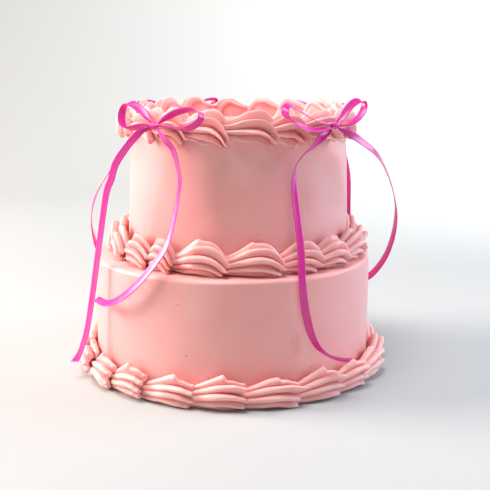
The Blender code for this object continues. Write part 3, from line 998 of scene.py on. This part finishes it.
@dataclass(frozen=True)
class Band:
    """A length of ribbon: a thin flat section, cupped a little, carried along a path."""
    width: float = RIBBON_WIDTH
    thickness: float = RIBBON_THICKNESS
    cup: float = 0.35 * MM
    gathered_cup: float = 1.3 * MM
    across: int = 7

    def surface(self, centres: np.ndarray, tangents: np.ndarray, widths: np.ndarray,
                gather: np.ndarray, cut: Cut = Cut.STRAIGHT) -> tuple:
        """Carry the section along the centres.

        A point is centre + s w/2 width + (cup (1 - s^2) + side t/2) normal, with s from -1 to 1 along
        one face and back along the other. Where gathered, w is less and the cup more.

        Args:
            centres: the path's points.
            tangents: the way that it runs.
            widths: the way that the width lies at each point.
            gather: how far the ribbon is gathered at each point, from nought to one.
            cut: how the last end is cut.

        Returns:
            The points with a pole at each end, the faces and the weave's UV, in metres.
        """
        tangents = unit(tangents)
        widths = unit(widths - tangents * np.sum(widths * tangents, axis=1, keepdims=True))
        normals = np.cross(tangents, widths)
        s = np.linspace(-1.0, 1.0, self.across)
        s = np.concatenate([s, s[::-1]])[None, :, None]
        side = np.repeat([1.0, -1.0], self.across)[None, :, None]
        half = self.width / 2.0 * (1.0 - 0.6 * gather)[:, None, None]
        cup = (self.cup + self.gathered_cup * gather)[:, None, None]
        ring = (centres[:, None] + s * half * widths[:, None]
                + (cup * (1.0 - s ** 2) + side * self.thickness / 2.0) * normals[:, None])
        length = run_lengths(centres)
        last = np.clip((length - length[-1] + self.width) / self.width, 0.0, 1.0)
        slant = cut.value * self.width * 0.5 * last
        ring = ring + slant[:, None, None] * s * tangents[:, None]
        columns = 2 * self.across
        u = np.broadcast_to(s[..., 0] * self.width / 2.0, ring.shape[:2]).ravel()
        v = np.repeat(length, columns)
        weave = np.vstack([[0.0, 0.0], np.stack([u, v], axis=1), [0.0, length[-1]]])
        return close_ends(ring), tube_faces(len(ring), columns, 0), weave


# Bow loops: along the bow, up, outwards (mm), and how far the ribbon's width tips outwards (degrees)
LOOP_LEFT_ROUND = (
    (-1, 1.2, -0.8, 60), (-10, 9, -1.2, 45), (-17, 13, -1.8, 40), (-22.5, 15.5, -2.2, 52),
    (-26.5, 15.2, -1.8, 80), (-28.5, 12, 0.2, 110), (-29, 7.5, 2, 123), (-27.8, 2.5, 3.6, 114),
    (-25, -1.5, 4.2, 92), (-20.5, -2.8, 4, 60), (-14, -1.2, 3.2, 48), (-7.5, 0.4, 2.2, 55),
    (-1, 0.2, 0.8, 65))
LOOP_RIGHT_LONG = (
    (1, 1.2, -0.8, 60), (11, 6.5, -1, 50), (19, 10.5, -1.6, 45), (28, 13, -2, 46),
    (36.5, 13.5, -1.6, 56), (42, 12, -0.2, 80), (43.8, 8, 1.4, 104), (41, 4, 2.8, 125),
    (36, 1, 3.4, 130), (28.5, -0.5, 3.2, 122), (18.5, 0, 2.3, 118), (8.5, 0.6, 1.4, 115),
    (1, 0.2, 0.8, 115))
LOOP_LEFT_LONG = (
    (-1, 0.6, -0.8, 75), (-14.5, 3, -1.4, 74), (-24, 7, -2.2, 70), (-33, 12, -3, 60),
    (-39, 15.5, -3.2, 58), (-46, 16.5, -2, 62), (-51.3, 13.5, 0.5, 66), (-51, 9.5, 2, 84),
    (-46.5, 6, 3.2, 112), (-40, 3, 3.6, 138), (-32, 0, 3.4, 135), (-24, -1.8, 2.8, 122),
    (-14.5, -1.8, 1.8, 113), (-1, -0.6, 0.8, 110))
LOOP_RIGHT_HIGH = (
    (1, 0.6, -0.8, 118), (8.5, 5.5, -1.2, 130), (14.5, 11, -1.8, 136), (21.5, 15.5, -2.2, 136),
    (27.5, 17.3, -1.6, 118), (30.5, 15.8, 0, 96), (29.5, 12, 1.4, 84), (26, 8, 2.6, 78),
    (20.5, 4, 3.2, 76), (14, 1, 2.8, 78), (7, -0.6, 1.8, 86), (1, -0.6, 0.8, 92))

# Ribbon tails: x, y, z (mm) from the knot down, and how far the face turns from outwards (degrees)
TAIL_ROUTES = {
    "tail_front_left_outer": (
        (-60.6, -79.9, 203.2, 30), (-67, -78, 201, 22), (-75, -76, 193, 20), (-82, -73, 184, 25),
        (-87.5, -70, 175, 25), (-91, -68, 164, 22), (-95.5, -66, 152, 20), (-100.5, -64, 123, 20),
        (-105, -62, 96, 22), (-109.5, -60, 69, 22), (-114.5, -58, 43, 20), (-121, -55, 23, 15),
        (-126.5, -53, 14, 15)),
    "tail_front_left_inner": (
        (-55.3, -83.2, 203.9, -30), (-48, -89.4, 195.5, -17), (-43, -89, 189, -20), (-40, -89, 179, -32),
        (-38, -89, 167, -38), (-39, -91, 155, -38), (-42, -95, 139, -34), (-47, -99, 121, -28),
        (-56, -102, 107, -22), (-68, -99, 92, -20), (-82, -91, 78, -25), (-95, -79, 70, -45),
        (-106, -62, 69, -65)),
    "tail_front_right_inner": (
        (74.4, -74.5, 202.4, -60), (66.5, -81, 197, -9), (59, -85, 190, 40), (52, -88, 184, 65),
        (47, -89, 176, 55), (46, -90, 166, 25), (47, -92, 152, 5), (49, -98, 135, 0),
        (51, -103, 116, 0), (52, -107, 93, 0), (55, -105.5, 70, -20), (61, -102, 49, -60),
        (69, -106, 39.5, -76), (80.5, -101.5, 33, -58), (90, -97.3, 30.5, -45)),
    "tail_front_right_outer": (
        (80.3, -71.6, 202.4, -45), (90, -66, 198, -13), (100, -58, 191, 10), (110, -49, 183, 15),
        (118, -38, 173, 15), (126, -26, 158, 10), (132, -13, 143, 8), (136, 0, 125, 15),
        (136.5, 16, 103, 18), (133, 34, 81, 12), (125, 52, 62, 5), (116, 63, 53, 0)),
    "tail_back_left_outer": (
        (-61.7, 81.9, 203.9, 0), (-76, 78, 192, 0), (-94, 71, 172, 15), (-110, 64, 151, 35),
        (-121, 56, 132, 45), (-125, 51, 113, 30), (-123, 50, 95, 10), (-119, 54, 80, 0),
        (-113, 63, 64, 0), (-104, 76, 50, 0)),
    "tail_back_left_inner": (
        (-55.5, 82, 201, 0), (-46, 91, 194, 0), (-40, 95, 178, -10), (-38, 98, 158, -20),
        (-40, 102, 136, -10), (-44, 107, 115, 0), (-46, 112, 92, 10), (-42, 116, 70, 20),
        (-33, 120, 50, 20), (-22, 124, 36, 10)),
    "tail_back_right_outer": (
        (77.6, 73.5, 204.6, 30), (88, 72, 190.5, 12), (96, 65, 174, 10), (101, 58, 151, 20),
        (102, 56, 128, 10), (103, 60, 106, 0), (104, 66, 84, 0), (101, 76, 62, 10),
        (93, 88, 44, 20)),
    "tail_back_right_inner": (
        (74.4, 75.3, 204.6, -60), (64, 88.3, 193.5, -24), (56, 93, 180, 15), (52, 96, 160, 30),
        (52, 100, 138, 20), (54, 105, 116, 0), (54, 109, 92, -10), (49, 113, 68, -20),
        (39, 117, 48, -20), (27, 121, 34, -10)),
}


@dataclass(frozen=True)
class Bow:
    """A ribbon bow: two loops that meet in a small creased knot."""
    node: str
    knot_azimuth: float
    facing: float
    loops: tuple
    lift: float = 1.0

    def axes(self) -> tuple:
        """Return the knot's place and the bow's own axes: along it, up and outwards."""
        turn, facing = math.radians(self.knot_azimuth), math.radians(self.facing)
        knot = np.array([TOP_SHIFT + KNOT_RADIUS * math.sin(turn), -KNOT_RADIUS * math.cos(turn),
                         KNOT_HEIGHT])
        along, up = np.array([math.cos(facing), math.sin(facing), 0.0]), np.array([0.0, 0.0, 1.0])
        return knot, np.stack([along, up, np.cross(along, up)])

    def loop(self, route: tuple) -> tuple:
        """Carry the ribbon round one loop, gathered where it enters the knot.

        The ribbon's width lies across the loop in the bow's own plane, then tips outwards.

        Args:
            route: the loop's points.

        Returns:
            The points, faces and weave of the band.
        """
        knot, axes = self.axes()
        path = smooth_path(np.array(route) * (1.0, self.lift, 1.0, 1.0), LOOP_ROWS)
        tip = np.radians(path[:, 3])[:, None]
        across = unit(np.stack([-path[:, 5], path[:, 4], np.zeros(len(path))], axis=1))
        widths = (np.cos(tip) * across + np.sin(tip) * OUTWARDS) @ axes
        along = np.linspace(0.0, 1.0, LOOP_ROWS)
        gather = np.exp(-(np.minimum(along, 1.0 - along) / 0.09) ** 2)
        return Band().surface(knot + path[:, :3] @ axes * MM, path[:, 4:] @ axes, widths, gather)

    def knot(self) -> tuple:
        """Wrap the knot: a small barrel, creased the way that the ribbon goes round it.

        At a along the bow, from -1 to 1, and the angle b round it, the radius is the half size times
        (1 - |a|^3.2)^(1/2.2), less creases that follow sin(11 a + sin b).

        Returns:
            The points, faces and weave.
        """
        place, axes = self.axes()
        a = np.linspace(-0.97, 0.97, 25)[:, None]
        b = (np.arange(40) * 2.0 * math.pi / 40)[None, :]
        swell = (1.0 - np.abs(a) ** 3.2) ** (1.0 / 2.2)
        creased = swell * (1.0 - 0.07 * np.cos(11.0 * a + 1.2 * np.sin(b + 0.6)) - 0.03 * np.sin(2.0 * b))
        local = np.stack([KNOT_SIZE[0] * a + 0.0 * b, KNOT_SIZE[2] * creased * np.sin(b),
                          KNOT_SIZE[1] * creased * np.cos(b)], axis=-1)
        rings = place + local @ axes
        ends = np.stack([place - KNOT_SIZE[0] * axes[0], place + KNOT_SIZE[0] * axes[0]])
        points = np.vstack([ends[:1], rings.reshape(-1, 3), ends[1:]])
        u = np.broadcast_to(KNOT_SIZE[0] * a, rings.shape[:2]).ravel()
        v = np.broadcast_to(KNOT_SIZE[1] * b, rings.shape[:2]).ravel()
        weave = np.vstack([[0.0, 0.0], np.stack([u, v], axis=1), [0.0, 0.0]])
        return points, tube_faces(len(a), b.shape[1], 0), weave

    def build(self, material: Material) -> Object:
        """Tie the bow as one piece.

        Args:
            material: the ribbon's.

        Returns:
            The bow's object.
        """
        points, faces, weaves, count = [], [], [], 0
        for part, ring_faces, weave in [self.knot()] + [self.loop(route) for route in self.loops]:
            points.append(part)
            weaves.append(weave)
            faces += [tuple(i + count for i in face) for face in ring_faces]
            count += len(part)
        obj = add_mesh(self.node + "_satin", np.vstack(points), faces, material,
                       {"weave": np.vstack(weaves)})
        return place_piece(obj, self.node)


@dataclass(frozen=True)
class Tail:
    """A ribbon tail that hangs from a bow's knot."""
    node: str
    cut: Cut

    def build(self, material: Material) -> Object:
        """Args:
            material: the ribbon's.

        Returns:
            The tail's object.
        """
        path = smooth_path(TAIL_ROUTES[self.node], TAIL_ROWS)
        centres = path[:, :3] * MM
        tangents = unit(path[:, 4:])
        outward = unit((centres - np.array([TOP_SHIFT, 0.0, 0.0])) * np.array([1.0, 1.0, 0.0]))
        flat = unit(np.cross(tangents, outward))
        face = np.cross(flat, tangents)
        turn = np.radians(path[:, 3])[:, None]
        gather = np.exp(-(np.linspace(0.0, 1.0, TAIL_ROWS) / 0.03) ** 2)
        points, faces, weave = Band().surface(
            centres, tangents, flat * np.cos(turn) + face * np.sin(turn), gather, self.cut)
        obj = add_mesh(self.node + "_satin", points, faces, material, {"weave": weave})
        place_piece(obj, self.node)
        return obj


# The cake


@dataclass(frozen=True)
class Cake:
    """The whole cake: two tiers, three borders, four bows and their tails."""
    tiers: tuple = (
        Tier("bottom_tier", 0.0, 0.0, BOTTOM_HEIGHT, BOTTOM_RADIUS, BOTTOM_RADIUS, 5),
        Tier("top_tier", TOP_SHIFT, BOTTOM_HEIGHT + CLEARANCE, CAKE_TOP, TOP_FOOT_RADIUS,
             TOP_RIM_RADIUS, 8),
    )
    borders: tuple = (
        ShellBorder(
            node="bottom_border", axis_x=0.0, wall_radius=BOTTOM_RADIUS, floor=0.0,
            star_out=3.0 * MM, star_up=11.5 * MM, reach=12.6 * MM, tail_scale=0.60,
            shoulder=14.0 * MM, fall=18.0, fall_start=0.55, shells=20, seed=11,
            front_ends=(-47.8, -31.6, -12.6, 5.2, 25.0, 43.3, 58.8),
            tail_power=2.4, end_power=1.8, tail_groove=0.24, end_groove=0.40, skew=0.0, flare=0.14,
            scallop=5.0 * MM, hump=0.28, corner=0.22, crest_stray=0.16, waver=0.03, end_taper=0.10),
        ShellBorder(
            node="middle_border", axis_x=TOP_SHIFT, wall_radius=TOP_FOOT_RADIUS, floor=BOTTOM_HEIGHT,
            star_out=4.0 * MM, star_up=12.5 * MM, reach=13.2 * MM, tail_scale=0.52,
            shoulder=12.0 * MM, fall=58.0, seed=23, front_ends=(-40.6, -26.9, -2.8, 20.9, 39.1, 58.1),
            tail_power=2.0, end_power=1.45, tail_groove=0.26, end_groove=0.36, skew=0.30,
            early_fall=0.22, hump=0.12, corner=0.06, waver=0.03),
        ShellBorder(
            node="top_border", axis_x=TOP_SHIFT, wall_radius=TOP_RIM_RADIUS, floor=CAKE_TOP,
            star_out=-4.0 * MM, star_up=3.6 * MM, reach=13.6 * MM, tail_scale=0.55,
            shoulder=7.0 * MM, fall=74.0, seed=37, front_ends=(-40.0, -22.2, -2.1, 20.1, 35.6, 58.4),
            tail_power=1.2, end_power=0.80, tail_groove=0.32, end_groove=0.48, skew=0.25, crests=6,
            early_fall=0.20, crest_stray=0.20, waver=0.04),
    )
    bows: tuple = (
        Bow("bow_front_left", -38.0, -34.0, (LOOP_LEFT_ROUND, LOOP_RIGHT_LONG)),
        Bow("bow_front_right", 46.0, 40.0, (LOOP_LEFT_LONG, LOOP_RIGHT_HIGH)),
        Bow("bow_back_right", 135.0, 135.0, (LOOP_LEFT_ROUND, LOOP_RIGHT_LONG), LOW_LIFT),
        Bow("bow_back_left", -142.0, -142.0, (LOOP_LEFT_LONG, LOOP_RIGHT_HIGH), LOW_LIFT),
    )
    tails: tuple = tuple(
        Tail(node, Cut.SLANTED if node == "tail_front_left_outer" else Cut.STRAIGHT) for node in TAIL_ROUTES)

    def build(self) -> None:
        """Build every piece, the tails first."""
        satin = SatinRibbon().material()
        pieces = [tail.build(satin) for tail in self.tails]
        pieces += [bow.build(satin) for bow in self.bows]
        pieces += [tier.build(Buttercream(Surface.SMOOTHED)) for tier in self.tiers]
        pieces += [border.build(Buttercream(Surface.PIPED)) for border in self.borders]
        for piece in pieces:
            LOG.info("%s: %d faces", piece.name, len(piece.data.polygons))


def main() -> None:
    """Build the camera, the cake and the studio."""
    logging.basicConfig(level=logging.INFO, format="%(name)s: %(message)s")
    Camera().build()
    Cake().build()
    Studio().build()
    bpy.context.view_layer.update()


if __name__ == "__main__":
    main()
